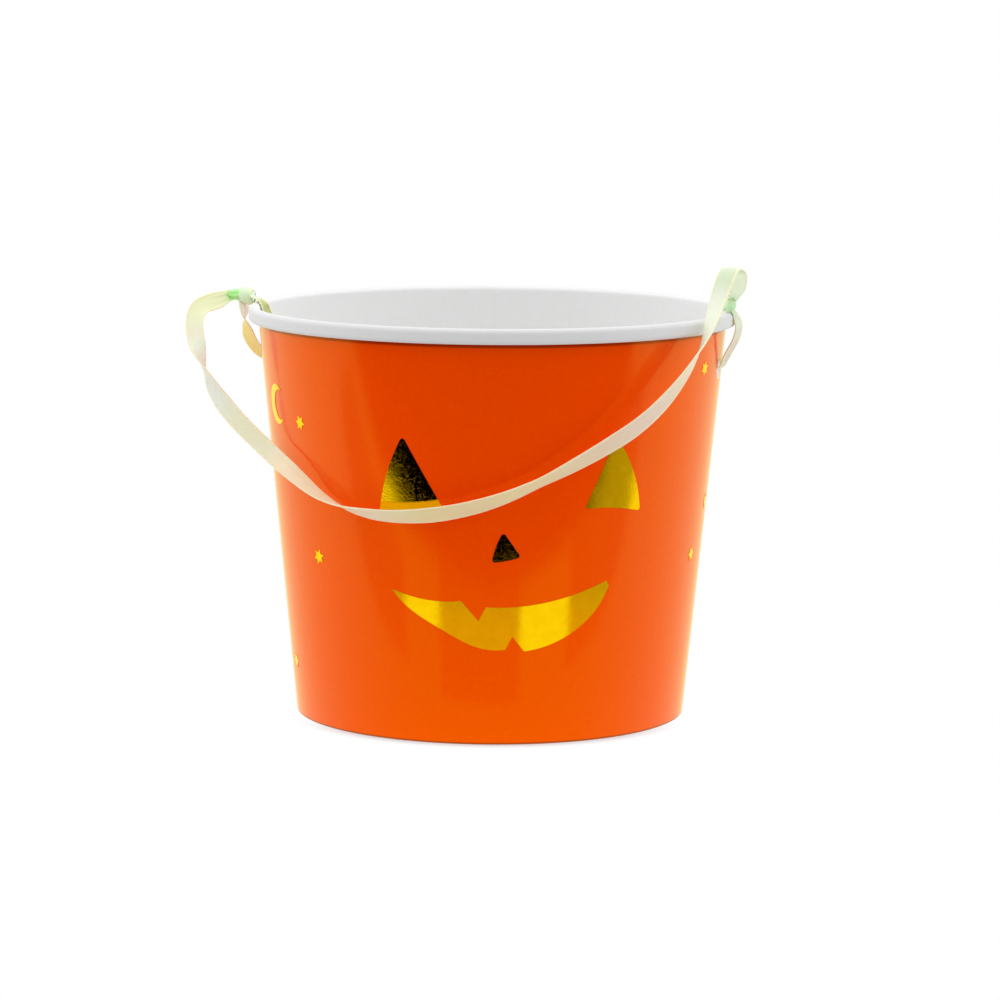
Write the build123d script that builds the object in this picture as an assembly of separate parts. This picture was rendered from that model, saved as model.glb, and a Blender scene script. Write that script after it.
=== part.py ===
from build123d import *
import math
import os

# Paper candy pail with a pumpkin face in stamped foil and a ribbon handle.
# Millimetres. The pail's axis is Z, it stands on z = 0 and its face looks towards -Y.
# An azimuth is a turn about Z in degrees: 0 at -Y, 90 at +X.

# Pail, one board blank rolled into a cone
RIM_DIAMETER = 165.0
FOOT_DIAMETER = 131.8
HEIGHT = 138.0
BOARD = 0.5
ROLL_WIDTH = 3.6
ROLL_HEIGHT = 5.1
ROLL_GAP = 0.1
BASE_RISE = 10.0
GLUE_GAP = 0.03
SEAM_LAP = 10.0
SEAM_SINK_SHARE = 0.5
SEAM_AZIMUTH = 184.0

# Punched holes for the ribbon, opposite each other on one line through the axis
HOLE_DIAMETER = 7.0
HOLE_DROP = 19.0
HOLE_AZIMUTH = 78.0

# Foil leaf on the outside of the wall
FOIL_THICKNESS = 0.12
FOIL_GAP = 0.02
EYE_CORNER = 0.9
LEFT_EYE_WIDTH = 22.4
LEFT_EYE_HEIGHT = 26.2
LEFT_EYE_BASE = 76.0
LEFT_EYE_AZIMUTH = -20.8
RIGHT_EYE_WIDTH = 21.8
RIGHT_EYE_HEIGHT = 25.2
RIGHT_EYE_BASE = 76.3
RIGHT_EYE_AZIMUTH = 32.8
NOSE_WIDTH = 9.5
NOSE_HEIGHT = 10.2
NOSE_BASE = 61.2
NOSE_CORNER = 0.8
NOSE_AZIMUTH = 4.0
MOUTH_WIDTH = 70.8
MOUTH_HEIGHT = 22.5
MOUTH_BASE = 31.5
MOUTH_AZIMUTH = 3.0
STAR_DIAMETER = 5.2
STAR_WAIST_SHARE = 0.52
STAR_POINTS = 6
MOON_DIAMETER = 13.4
MOON_BITE_DIAMETER = 10.2
MOON_BITE_OFFSET = 2.7

# Ribbon, its two loops through the holes, and the knots that close them
RIBBON_WIDTH = 6.0
RIBBON_THICKNESS = 0.4
GATHER_SHARE = 0.4
GATHER_LENGTH = 5.0
STATION_PITCH = 4.0
KNOT_DIAMETER = 4.4
KNOT_LENGTH = 3.6
KNOT_SEAT = 0.2
KNOT_GAP = 0.1
KNOT_END_SHARE = 0.7
LEFT_KNOT_REACH = 7.6
RIGHT_KNOT_REACH = -1.2
LEFT_LOOP_REACH = 4.8
RIGHT_LOOP_REACH = 2.6
LOOP_CLEARANCE = 1.2
LOOP_RISE_SHARE = 0.65
BEND_SHARE = 0.45

# Route of the handle from the left knot round the front to the right knot
HANDLE_ROUTE = (
    (-90.7, 19.3, 140.3),
    (-94.0, 16.0, 139.0),
    (-99.5, 11.5, 137.3),
    (-101.8, 7.5, 132.5),
    (-101.0, 4.0, 126.0),
    (-98.5, -1.0, 117.5),
    (-94.0, -7.0, 109.0),
    (-85.5, -15.5, 100.0),
    (-76.5, -27.5, 93.5),
    (-68.0, -44.5, 88.5),
    (-53.0, -57.5, 77.5),
    (-36.0, -69.5, 75.5),
    (-18.0, -76.5, 77.0),
    (0.5, -78.5, 81.5),
    (17.0, -76.5, 88.5),
    (34.0, -74.0, 97.5),
    (49.5, -70.0, 107.0),
    (61.5, -61.5, 119.0),
    (69.5, -51.5, 131.0),
    (72.5, -45.0, 142.5),
    (75.0, -40.5, 150.5),
    (78.5, -34.0, 154.0),
    (81.5, -27.0, 151.5),
    (82.0, -20.5, 146.5),
    (80.4, -17.1, 143.4),
)

# Turn of the ribbon about its own line, in degrees, at shares of its length
TWIST_SHARES = (
    (0.0, 10.0),
    (0.03, 25.0),
    (0.055, 45.0),
    (0.085, 50.0),
    (0.117, -28.0),
    (0.134, -58.0),
    (0.168, -100.0),
    (0.25, -108.0),
    (0.297, -119.0),
    (0.333, -145.0),
    (0.386, -182.0),
    (0.42, -204.0),
    (0.489, -221.0),
    (0.54, -212.0),
    (0.602, -191.0),
    (0.651, -211.0),
    (0.695, -224.0),
    (0.752, -213.0),
    (0.798, -190.0),
    (0.814, -179.0),
    (0.83, -166.0),
    (0.862, -126.0),
    (0.894, -95.0),
    (0.913, -92.0),
    (0.938, -116.0),
    (0.977, -128.0),
    (1.0, -145.0),
)

# Outlines in shares of half the width, from the middle, and of the height, from the base
LEFT_EYE_SHARES = ((-1.0, 0.0), (-0.76, 0.46), (-0.18, 1.0), (1.0, 0.1), (0.0, 0.07))
RIGHT_EYE_SHARES = ((1.0, 0.0), (0.68, 0.5), (-0.09, 1.0), (-1.0, 0.08), (0.0, 0.07))
NOSE_SHARES = ((-1.0, 0.0), (-0.72, 0.52), (-0.24, 1.0), (1.0, 0.18), (0.0, 0.06))
SMILE_LEFT_SHARES = ((-1.0, 0.871), (-0.72, 0.751), (-0.374, 0.747))
UPPER_TOOTH_SHARES = ((-0.374, 0.747), (-0.215, 0.453), (-0.147, 0.66))
SMILE_RIGHT_SHARES = ((-0.147, 0.66), (0.17, 0.667), (0.65, 0.809), (0.975, 0.995))
JAW_RIGHT_SHARES = ((1.0, 0.92), (0.94, 0.71), (0.655, 0.251), (0.21, 0.0))
LOWER_TOOTH_SHARES = ((0.21, 0.0), (0.10, 0.222), (0.034, 0.027))
JAW_LEFT_SHARES = ((0.034, 0.027), (-0.178, 0.04), (-0.545, 0.307), (-0.912, 0.698), (-1.0, 0.871))

# Scattered ornaments: azimuth, share of the pail's height, turn
STAR_PLACE_SHARES = (
    (-56.1, 0.745, -7.0),
    (-52.3, 0.424, 15.0),
    (-74.2, 0.139, 0.0),
    (64.4, 0.876, 20.0),
    (69.1, 0.418, 5.0),
    (79.2, 0.536, 12.0),
    (108.0, 0.74, 25.0),
    (122.0, 0.25, 8.0),
    (152.0, 0.58, 0.0),
    (163.0, 0.86, 18.0),
    (-160.0, 0.36, 10.0),
    (-142.0, 0.8, -5.0),
    (-118.0, 0.5, 22.0),
)
MOON_PLACE_SHARES = (
    (-68.8, 0.778, 0.0),
    (134.0, 0.7, 0.0),
    (-134.0, 0.22, 0.0),
)

# Worked out from the sizes above
RIM_RADIUS = RIM_DIAMETER / 2
FOOT_RADIUS = FOOT_DIAMETER / 2
ROLL_TOP_RADIUS = ROLL_WIDTH / 2
ROLL_TAIL_RADIUS = (ROLL_WIDTH - BOARD - ROLL_GAP) / 2
ROLL_TOP_Z = HEIGHT - ROLL_TOP_RADIUS
ROLL_TAIL_Z = HEIGHT - ROLL_HEIGHT + ROLL_TAIL_RADIUS
WALL_SLOPE = (RIM_RADIUS - ROLL_WIDTH + BOARD - FOOT_RADIUS) / ROLL_TOP_Z
FOLD_WIDTH = 3 * BOARD + 2 * GLUE_GAP
HEM_TOP = BASE_RISE - BOARD - GLUE_GAP
HOLE_Z = HEIGHT - HOLE_DROP
KNOT_RADIUS = KNOT_DIAMETER / 2
HINGE_Z = HEIGHT + KNOT_SEAT + KNOT_RADIUS
HINGE_TURN = HOLE_AZIMUTH - 90
LEFT_KNOT_RADIUS = RIM_RADIUS + LEFT_KNOT_REACH
RIGHT_KNOT_RADIUS = RIM_RADIUS + RIGHT_KNOT_REACH
ARC_STEP = math.radians(18)


def wall_radius(z):
    """Radius of the wall's outer face at a height."""
    return FOOT_RADIUS + WALL_SLOPE * z


def band(z_low, z_high, inset, thickness):
    """Face between two slanted lines, as far in from the wall's outer face as inset says."""
    corners = [
        (wall_radius(z_low) - inset, z_low),
        (wall_radius(z_high) - inset, z_high),
        (wall_radius(z_high) - inset - thickness, z_high),
        (wall_radius(z_low) - inset - thickness, z_low),
    ]
    return make_face(Polyline(*corners, close=True))


def spin(profile, arc=360.0):
    """Turn a profile drawn as radius and height about the pail's axis."""
    return revolve(Plane.XZ * profile, Axis.Z, arc)


def rolled_rim():
    """Profile of the rim: over the top, down the outside and back under, hollow inside."""
    top = (RIM_RADIUS - ROLL_TOP_RADIUS, ROLL_TOP_Z)
    tail = (RIM_RADIUS - ROLL_TAIL_RADIUS, ROLL_TAIL_Z)
    outside = [
        CenterArc(top, ROLL_TOP_RADIUS, 180, -180),
        Line((RIM_RADIUS, ROLL_TOP_Z), (RIM_RADIUS, ROLL_TAIL_Z)),
        CenterArc(tail, ROLL_TAIL_RADIUS, 0, -180),
    ]
    inside = [
        CenterArc(top, ROLL_TOP_RADIUS - BOARD, 180, -180),
        Line((RIM_RADIUS - BOARD, ROLL_TOP_Z), (RIM_RADIUS - BOARD, ROLL_TAIL_Z)),
        CenterArc(tail, ROLL_TAIL_RADIUS - BOARD, 0, -180),
    ]
    edge = [
        Line(outside[0] @ 0, inside[0] @ 0),
        Line(outside[-1] @ 1, inside[-1] @ 1),
    ]
    return make_face(outside + inside + edge)


def sidewall():
    """Cone of board with a rolled rim, a hem folded up inside the foot, a lapped seam and two holes."""
    wall = band(0, ROLL_TOP_Z, 0, BOARD)
    web = band(0, BOARD, 0, FOLD_WIDTH)
    hem = band(0, HEM_TOP, FOLD_WIDTH - BOARD, BOARD)
    cone = spin(wall + web + hem + rolled_rim())
    lap_arc = math.degrees(SEAM_LAP / FOOT_RADIUS)
    lap_depth = BOARD * (1 + SEAM_SINK_SHARE)
    lap = spin(band(BOARD, HEIGHT - ROLL_HEIGHT - BOARD, -BOARD, lap_depth), lap_arc)
    cone += Rot(0, 0, SEAM_AZIMUTH - 90 - lap_arc / 2) * lap
    punch = Cylinder(HOLE_DIAMETER / 2, 2 * RIM_DIAMETER, rotation=(0, 90, 0))
    return cone - Pos(0, 0, HOLE_Z) * Rot(0, 0, HINGE_TURN) * punch


def base_disc():
    """Recessed bottom whose turned-down skirt sits between the wall and the hem."""
    inset = BOARD + GLUE_GAP
    skirt = band(BOARD + GLUE_GAP, BASE_RISE, inset, BOARD)
    edge = wall_radius(BASE_RISE - BOARD) - inset - BOARD / 2
    plate = Pos(edge / 2, BASE_RISE - BOARD / 2) * Rectangle(edge, BOARD)
    return spin(skirt + plate)


def outline_points(shares, width, height, base):
    """Points of an outline from its shares of half the width and of the height."""
    return [(u * width / 2, base + v * height) for u, v in shares]


def bowed_triangle(shares, width, height, base, corner):
    """Rounded triangle with one bowed side and a bowed foot: eyes and nose."""
    outer, bow, apex, inner, foot = outline_points(shares, width, height, base)
    sides = [
        ThreePointArc(outer, bow, apex),
        Line(apex, inner),
        ThreePointArc(inner, foot, outer),
    ]
    face = make_face(sides)
    return fillet(face.vertices(), corner)


def mouth_outline():
    """Grin with one tooth in each jaw."""

    def points(shares):
        return outline_points(shares, MOUTH_WIDTH, MOUTH_HEIGHT, MOUTH_BASE)

    lips = (SMILE_LEFT_SHARES, SMILE_RIGHT_SHARES, JAW_RIGHT_SHARES, JAW_LEFT_SHARES)
    curves = [Spline(*points(shares)) for shares in lips]
    teeth = [Polyline(*points(shares)) for shares in (UPPER_TOOTH_SHARES, LOWER_TOOTH_SHARES)]
    tip = Line(curves[1] @ 1, curves[2] @ 0)
    return make_face(curves + teeth + [tip])


def star_outline():
    """Star of narrow points about its own middle."""
    tips = []
    for step in range(2 * STAR_POINTS):
        reach = STAR_DIAMETER / 2 * (STAR_WAIST_SHARE if step % 2 else 1)
        angle = math.pi * step / STAR_POINTS
        tips.append((reach * math.cos(angle), reach * math.sin(angle)))
    return make_face(Polyline(*tips, close=True))


def moon_outline():
    """Crescent that opens to the right."""
    return Circle(MOON_DIAMETER / 2) - Pos(MOON_BITE_OFFSET, 0) * Circle(MOON_BITE_DIAMETER / 2)


def foil(outline, azimuth):
    """Leaf of foil over the wall, cut to an outline that is drawn as seen from the front."""
    leaf = spin(band(0, ROLL_TAIL_Z, -FOIL_GAP - FOIL_THICKNESS, FOIL_THICKNESS))
    cutter = extrude(Plane.XZ * outline, RIM_RADIUS)
    return Rot(0, 0, azimuth) * (leaf & cutter)


def scatter(outline, places):
    """Group of equal ornaments, each at its azimuth and height with its own turn."""
    leaves = []
    for azimuth, share, turn in places:
        leaves += foil(Pos(0, share * HEIGHT) * Rot(0, 0, turn) * outline, azimuth).solids()
    return Compound(leaves)


def smooth_path(points):
    """Straight runs joined by tangent arcs, each as large as its runs allow, and the radii."""
    spots = [Vector(*p) for p in points]
    runs = [b - a for a, b in zip(spots, spots[1:])]
    radii = []
    for before, after in zip(runs, runs[1:]):
        half_turn = math.radians(before.get_angle(after)) / 2
        radii.append(BEND_SHARE * min(before.length, after.length) / math.tan(half_turn))
    return FilletPolyline(*spots, radius=radii), radii


def stations(path):
    """Lengths along a path at which its ribbon gets a section."""
    marks = [0.0]
    for edge in path.order_edges():
        turn = edge.length / edge.radius if edge.geom_type == GeomType.CIRCLE else 0
        parts = max(1, math.ceil(turn / ARC_STEP), math.ceil(edge.length / STATION_PITCH))
        start = marks[-1]
        marks += [start + edge.length * (step + 1) / parts for step in range(parts)]
    return marks


def twist_at(share):
    """Turn of the handle's ribbon at a share of its length."""
    for (s0, a0), (s1, a1) in zip(TWIST_SHARES, TWIST_SHARES[1:]):
        if share <= s1:
            return a0 + (a1 - a0) * (share - s0) / (s1 - s0)
    return TWIST_SHARES[-1][1]


def ribbon(path, across, twist):
    """Flat ribbon along a path, gathered at both ends, with its width carried along from across."""
    length = path.length
    sections = []
    for mark in stations(path):
        share = min(mark / length, 1.0)
        ahead = path.tangent_at(share)
        across = (across - ahead * across.dot(ahead)).normalized()
        side = across.rotate(Axis((0, 0, 0), ahead), twist(share))
        from_end = min(mark, length - mark)
        spread = min(1.0, GATHER_SHARE + (1 - GATHER_SHARE) * max(from_end, 0) / GATHER_LENGTH)
        section = Plane(path.position_at(share), x_dir=side, z_dir=ahead)
        sections.append(section * Rectangle(RIBBON_WIDTH * spread, RIBBON_THICKNESS))
    return loft(sections, ruled=True)


def loop_route(knot_radius, meet_radius, reach):
    """Radius and height of a loop: from its knot over the rim, down inside, out of the hole and up."""
    start = knot_radius - KNOT_LENGTH / 2 - KNOT_GAP
    inside = RIM_RADIUS - ROLL_WIDTH - LOOP_CLEARANCE
    at_hole = wall_radius(HOLE_Z)
    outside = RIM_RADIUS + reach
    over = (start + inside) / 2
    return [
        (start, HINGE_Z),
        (over, HINGE_Z - KNOT_SEAT),
        (inside, HEIGHT + KNOT_SEAT),
        (inside - LOOP_CLEARANCE, HEIGHT - HOLE_DROP / 4),
        (wall_radius(HOLE_Z + HOLE_DROP / 3) - BOARD - 2 * LOOP_CLEARANCE, HOLE_Z + HOLE_DROP / 3),
        (at_hole - BOARD - LOOP_CLEARANCE, HOLE_Z),
        (at_hole + 2 * LOOP_CLEARANCE, HOLE_Z + KNOT_SEAT),
        ((at_hole + outside) / 2 + LOOP_CLEARANCE, HOLE_Z + HOLE_DROP / 4),
        (outside, HOLE_Z + HOLE_DROP * LOOP_RISE_SHARE),
        (outside, HEIGHT - ROLL_TOP_RADIUS),
        (meet_radius, HINGE_Z - KNOT_RADIUS - KNOT_GAP),
    ]


def loop(knot_radius, meet_radius, reach, azimuth):
    """Ribbon loop in the upright plane through a hole, with its two ends at the knot."""
    spots = [(radius, 0, z) for radius, z in loop_route(knot_radius, meet_radius, reach)]
    path, radii = smooth_path(spots)
    print("loop radii", [round(r, 1) for r in radii], "length", round(path.length, 1))
    strip = ribbon(path, Vector(0, 1, 0), lambda share: 0.0)
    return Rot(0, 0, azimuth - 90) * strip


def knot(radius, azimuth):
    """Small barrel of wound ribbon, round about the line that the handle turns on."""
    end = KNOT_RADIUS * KNOT_END_SHARE
    half = KNOT_LENGTH / 2
    belly = ThreePointArc((-half, end), (0, KNOT_RADIUS), (half, end))
    rest = Polyline((half, end), (half, 0), (-half, 0), (-half, end))
    barrel = revolve(make_face([belly, rest]), Axis.X)
    return Rot(0, 0, azimuth - 90) * Pos(radius, 0, HINGE_Z) * barrel


def handle():
    """Ribbon handle from the left knot, round the front, to the right knot."""
    path, radii = smooth_path(HANDLE_ROUTE)
    strip = ribbon(path, Vector(0, 0, 1), twist_at)
    print("handle radii", [round(r, 1) for r in radii])
    print("handle length", round(path.length, 1), "volume", round(strip.volume, 1),
          "section times length", round(RIBBON_WIDTH * RIBBON_THICKNESS * path.length, 1))
    return strip


left_azimuth = HOLE_AZIMUTH - 180
left_meet = LEFT_KNOT_RADIUS - KNOT_LENGTH / 3
right_meet = RIGHT_KNOT_RADIUS + KNOT_LENGTH / 3
left_eye = bowed_triangle(LEFT_EYE_SHARES, LEFT_EYE_WIDTH, LEFT_EYE_HEIGHT, LEFT_EYE_BASE, EYE_CORNER)
right_eye = bowed_triangle(RIGHT_EYE_SHARES, RIGHT_EYE_WIDTH, RIGHT_EYE_HEIGHT, RIGHT_EYE_BASE, EYE_CORNER)
nose = bowed_triangle(NOSE_SHARES, NOSE_WIDTH, NOSE_HEIGHT, NOSE_BASE, NOSE_CORNER)

pieces = {
    "sidewall": sidewall(),
    "base_disc": base_disc(),
    "left_eye_foil": foil(left_eye, LEFT_EYE_AZIMUTH),
    "right_eye_foil": foil(right_eye, RIGHT_EYE_AZIMUTH),
    "nose_foil": foil(nose, NOSE_AZIMUTH),
    "mouth_foil": foil(mouth_outline(), MOUTH_AZIMUTH),
    "star_foils": scatter(star_outline(), STAR_PLACE_SHARES),
    "moon_foils": scatter(moon_outline(), MOON_PLACE_SHARES),
    "left_loop": loop(LEFT_KNOT_RADIUS, left_meet, LEFT_LOOP_REACH, left_azimuth),
    "right_loop": loop(RIGHT_KNOT_RADIUS, right_meet, RIGHT_LOOP_REACH, HOLE_AZIMUTH),
    "left_knot": knot(LEFT_KNOT_RADIUS, left_azimuth),
    "right_knot": knot(RIGHT_KNOT_RADIUS, HOLE_AZIMUTH),
    "handle_ribbon": handle(),
}

os.makedirs("parts", exist_ok=True)
for name, piece in pieces.items():
    export_step(piece, f"parts/{name}.step")
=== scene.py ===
"""Dress a paper candy pail: printed board, stamped gold foil and a knotted satin ribbon.

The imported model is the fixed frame. Lengths are metres, +Z is up and the face looks towards -Y.
An azimuth is a turn about Z in degrees: 0 at -Y, 90 at +X.
"""

import logging
import math
from dataclasses import dataclass
from enum import Enum
from typing import Sequence

import bmesh
import bpy
import numpy as np
from mathutils import Matrix, Vector


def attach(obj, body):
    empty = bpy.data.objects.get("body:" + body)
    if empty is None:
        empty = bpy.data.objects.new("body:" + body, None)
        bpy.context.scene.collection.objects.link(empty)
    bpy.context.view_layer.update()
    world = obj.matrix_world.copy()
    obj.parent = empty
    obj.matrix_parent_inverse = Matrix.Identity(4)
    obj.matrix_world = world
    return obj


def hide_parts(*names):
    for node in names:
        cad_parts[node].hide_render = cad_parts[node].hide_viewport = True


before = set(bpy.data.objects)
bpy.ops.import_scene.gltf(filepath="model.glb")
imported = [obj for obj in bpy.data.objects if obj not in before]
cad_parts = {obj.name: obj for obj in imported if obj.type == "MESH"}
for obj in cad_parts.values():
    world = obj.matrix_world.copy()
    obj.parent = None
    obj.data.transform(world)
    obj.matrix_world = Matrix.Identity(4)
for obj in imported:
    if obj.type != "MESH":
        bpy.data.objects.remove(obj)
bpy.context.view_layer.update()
LOG = logging.getLogger("candy_pail")

Colour = tuple[float, float, float]
Spot = tuple[float, float, float]
Band = tuple[float, float]


class Signal:
    """A value on its way through a material's nodes; arithmetic on it adds Math nodes."""

    def __init__(self, nodes: "Nodes", socket: bpy.types.NodeSocket) -> None:
        """Wrap a node's output socket."""
        self.nodes = nodes
        self.socket = socket

    def math(self, operation: str, *values: "Signal | float") -> "Signal":
        """Add a Math node.

        Args:
            operation: The Math node's operation.
            *values: Its inputs in order.

        Returns:
            The result.
        """
        return self.nodes.node("Math", {"operation": operation}, dict(enumerate(values)))

    def __add__(self, other: "Signal | float") -> "Signal":
        """Sum."""
        return self.math("ADD", self, other)

    __radd__ = __add__

    def __sub__(self, other: "Signal | float") -> "Signal":
        """Difference."""
        return self.math("SUBTRACT", self, other)

    def __rsub__(self, other: float) -> "Signal":
        """Difference from a number."""
        return self.math("SUBTRACT", other, self)

    def __mul__(self, other: "Signal | float") -> "Signal":
        """Product."""
        return self.math("MULTIPLY", self, other)

    __rmul__ = __mul__

    def __abs__(self) -> "Signal":
        """Size without sign."""
        return self.math("ABSOLUTE", self)

    def sine(self) -> "Signal":
        """Sine of an angle in radians."""
        return self.math("SINE", self)

    def greatest(self, other: "Signal | float") -> "Signal":
        """The greater of two values."""
        return self.math("MAXIMUM", self, other)

    def rise(self, low: float, high: float) -> "Signal":
        """Smooth step.

        Args:
            low: Where the result is 0.
            high: Where the result is 1.

        Returns:
            A value from 0 to 1.
        """
        settings = {"interpolation_type": "SMOOTHSTEP"}
        return self.nodes.node("MapRange", settings, {"Value": self, "From Min": low, "From Max": high})

    def pick(self, output: str | int) -> "Signal":
        """Another output of the same node."""
        return Signal(self.nodes, self.socket.node.outputs[output])


class Nodes:
    """The node tree of one material, or of the world."""

    def __init__(self, tree: bpy.types.NodeTree) -> None:
        """Take a tree that Blender has just made."""
        self.tree = tree

    def feed(self, socket: bpy.types.NodeSocket, value: object) -> None:
        """Link a signal to a socket, or set the socket's own value.

        Args:
            socket: An input of a node.
            value: A signal, or a value that the socket takes.
        """
        if isinstance(value, Signal):
            self.tree.links.new(value.socket, socket)
        else:
            socket.default_value = value

    def node(
        self,
        kind: str,
        settings: dict[str, object] | None = None,
        sockets: dict[str | int, object] | None = None,
        output: str | int = 0,
    ) -> Signal:
        """Add any node.

        Args:
            kind: The node's type without its ShaderNode prefix.
            settings: Properties that are set before the sockets.
            sockets: Values or signals by the name or number of the input.
            output: The output to hand back.

        Returns:
            The chosen output.
        """
        made = self.tree.nodes.new("ShaderNode" + kind)
        for name, value in (settings or {}).items():
            setattr(made, name, value)
        for key, value in (sockets or {}).items():
            self.feed(made.inputs[key], value)
        return Signal(self, made.outputs[output])

    def mix(self, share: Signal | float, low: object, high: object) -> Signal:
        """Blend two colours.

        Args:
            share: 0 gives the low colour, 1 the high one.
            low: A colour or a signal.
            high: A colour or a signal.

        Returns:
            The blended colour.
        """
        sides = [v if isinstance(v, Signal) else (*v, 1.0) for v in (low, high)]
        return self.node("Mix", {"data_type": "RGBA"}, {0: share, 6: sides[0], 7: sides[1]}, 2)

    def place(self) -> Signal:
        """Position in the piece's own frame, which moves with the piece."""
        return self.node("TexCoord", output="Object")

    def noise(self, at: Signal, size: float, detail: float) -> Signal:
        """Noise from 0 to 1.

        Args:
            at: Where it is read.
            size: Width of its grains, in the units of that position.
            detail: Octaves.

        Returns:
            The noise.
        """
        return self.node("TexNoise", None, {"Vector": at, "Scale": 1 / size, "Detail": detail})

    def part(self, at: Signal, axis: str) -> Signal:
        """One coordinate of a position."""
        return self.node("SeparateXYZ", None, {0: at}, axis)

    def distance(self, at: Signal) -> Signal:
        """Distance of a position from the origin."""
        return self.node("VectorMath", {"operation": "LENGTH"}, {0: at}, "Value")

    def stretched(self, at: Signal, factors: Spot) -> Signal:
        """A position scaled along each axis."""
        return self.node("VectorMath", {"operation": "MULTIPLY"}, {0: at, 1: factors})

    def bump(self, height: Signal, depth: float, strength: float) -> Signal:
        """Normal of a rough surface.

        Args:
            height: Relief from 0 to 1.
            depth: The relief's depth in metres.
            strength: Share of the effect.

        Returns:
            The normal.
        """
        return self.node("Bump", None, {"Height": height, "Distance": depth, "Strength": strength})

    def show(self, shader: Signal) -> None:
        """Make a shader the surface of the material."""
        self.feed(self.tree.nodes["Material Output"].inputs["Surface"], shader)


def new_material(name: str) -> tuple[bpy.types.Material, Nodes]:
    """Start a material.

    Args:
        name: Name of the material.

    Returns:
        The material and its nodes.
    """
    material = bpy.data.materials.new(name)
    material.use_nodes = True
    return material, Nodes(material.node_tree)


class Finish:
    """A material whose surface is one Principled shader."""

    name = "finish"

    def surface(self, nodes: Nodes) -> dict[str, object]:
        """Values or signals of the shader's sockets."""
        raise NotImplementedError

    def make(self) -> bpy.types.Material:
        """Build the material, or hand back the one that is there.

        Returns:
            The material.
        """
        known = bpy.data.materials.get("finish_" + self.name)
        if known:
            return known
        material, nodes = new_material("finish_" + self.name)
        shader = material.node_tree.nodes["Principled BSDF"]
        for socket, value in self.surface(nodes).items():
            nodes.feed(shader.inputs[socket], value)
        return material


@dataclass(frozen=True)
class PrintedBoard(Finish):
    """Glossy orange print, with painted shade in a line under the rim and painted contact shade along the
    folded foot.
    """

    name = "printed_board"
    ink: Colour = (1.0, 0.068, 0.0)
    deep_ink: Colour = (0.97, 0.061, 0.0)
    # Painted shade: the dark line on the wall just under the rolled rim.
    rim_shadow_ink: Colour = (0.36, 0.02, 0.0)
    # Painted contact shade: the dark line along the folded foot, where it meets the floor.
    fold: Colour = (0.3, 0.018, 0.0)
    shine_tint: Colour = (1.0, 0.92, 0.0)
    mottle_size: float = 0.0016
    mottle_band: Band = (0.2, 0.8)
    grain_size: float = 0.00035
    grain_stretch: Spot = (1.0, 1.0, 0.45)
    grain_depth: float = 0.00002
    grain_strength: float = 0.1
    rim_shadow_band: Band = (0.1313, 0.1321)
    rim_shadow_share: float = 0.85
    foot_shade_band: Band = (0.00027, 0.0009)
    foot_shade_share: float = 0.9
    roughness: float = 0.11
    mottle_roughness: float = 0.05
    fold_roughness: float = 0.25

    def surface(self, nodes: Nodes) -> dict[str, object]:
        """Lay the print on the board.

        Args:
            nodes: The material's nodes.

        Returns:
            Values or signals of the shader's sockets.
        """
        at = nodes.place()
        mottle = nodes.noise(at, self.mottle_size, 4.0)
        height = nodes.part(at, "Z")
        # Painted shade in a thin band under the rolled rim.
        rim_shadow_mask = height.rise(*self.rim_shadow_band)
        # Painted contact shade along the foot; the same band makes the foot rougher.
        at_foot = 1 - height.rise(*self.foot_shade_band)
        grain = nodes.noise(nodes.stretched(at, self.grain_stretch), self.grain_size, 3.0)
        ink = nodes.mix(mottle.rise(*self.mottle_band), self.deep_ink, self.ink)
        ink = nodes.mix(rim_shadow_mask * self.rim_shadow_share, ink, self.rim_shadow_ink)
        return {
            "Base Color": nodes.mix(at_foot * self.foot_shade_share, ink, self.fold),
            "Roughness": self.roughness + self.mottle_roughness * mottle + self.fold_roughness * at_foot,
            "IOR": 1.5,
            "Specular IOR Level": 0.6,
            "Specular Tint": (*self.shine_tint, 1.0),
            "Normal": nodes.bump(grain, self.grain_depth, self.grain_strength),
        }


@dataclass(frozen=True)
class WhiteBoard(Finish):
    """Smooth white board with faint fibres, and painted shade that makes the rolled rim a little greyer."""

    name = "white_board"
    clean: Colour = (0.87, 0.87, 0.87)
    shade: Colour = (0.855, 0.855, 0.85)
    # Painted shade: the greyer white of the rolled rim, front and top.
    rim: Colour = (0.76, 0.76, 0.765)
    rim_reach: float = 0.0797
    rim_foot: float = 0.1305
    rim_blend: float = 1.006
    fibre_size: float = 0.0011
    fibre_stretch: Spot = (1.0, 1.0, 0.35)
    fibre_band: Band = (0.25, 0.7)
    tooth_size: float = 0.0003
    tooth_depth: float = 0.00002
    tooth_strength: float = 0.2
    roughness: float = 0.55
    fibre_roughness: float = 0.15

    def surface(self, nodes: Nodes) -> dict[str, object]:
        """Mix the board's white with its fibres and the rim's grey.

        Args:
            nodes: The material's nodes.

        Returns:
            Values or signals of the shader's sockets.
        """
        at = nodes.place()
        fibre = nodes.noise(nodes.stretched(at, self.fibre_stretch), self.fibre_size, 4.0)
        tooth = nodes.noise(at, self.tooth_size, 3.0)
        reach = nodes.distance(nodes.stretched(at, (1.0, 1.0, 0.0)))
        height = nodes.part(at, "Z")
        # Painted shade on the rolled rim, chosen by reach and height.
        rim_shade_mask = reach.rise(self.rim_reach, self.rim_blend * self.rim_reach)
        rim_shade_mask = rim_shade_mask * height.rise(self.rim_foot, self.rim_blend * self.rim_foot)
        board = nodes.mix(fibre.rise(*self.fibre_band), self.shade, self.clean)
        return {
            "Base Color": nodes.mix(rim_shade_mask, board, self.rim),
            "Roughness": self.roughness + self.fibre_roughness * fibre,
            "Specular IOR Level": 0.2,
            "Normal": nodes.bump(tooth, self.tooth_depth, self.tooth_strength),
        }


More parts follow.
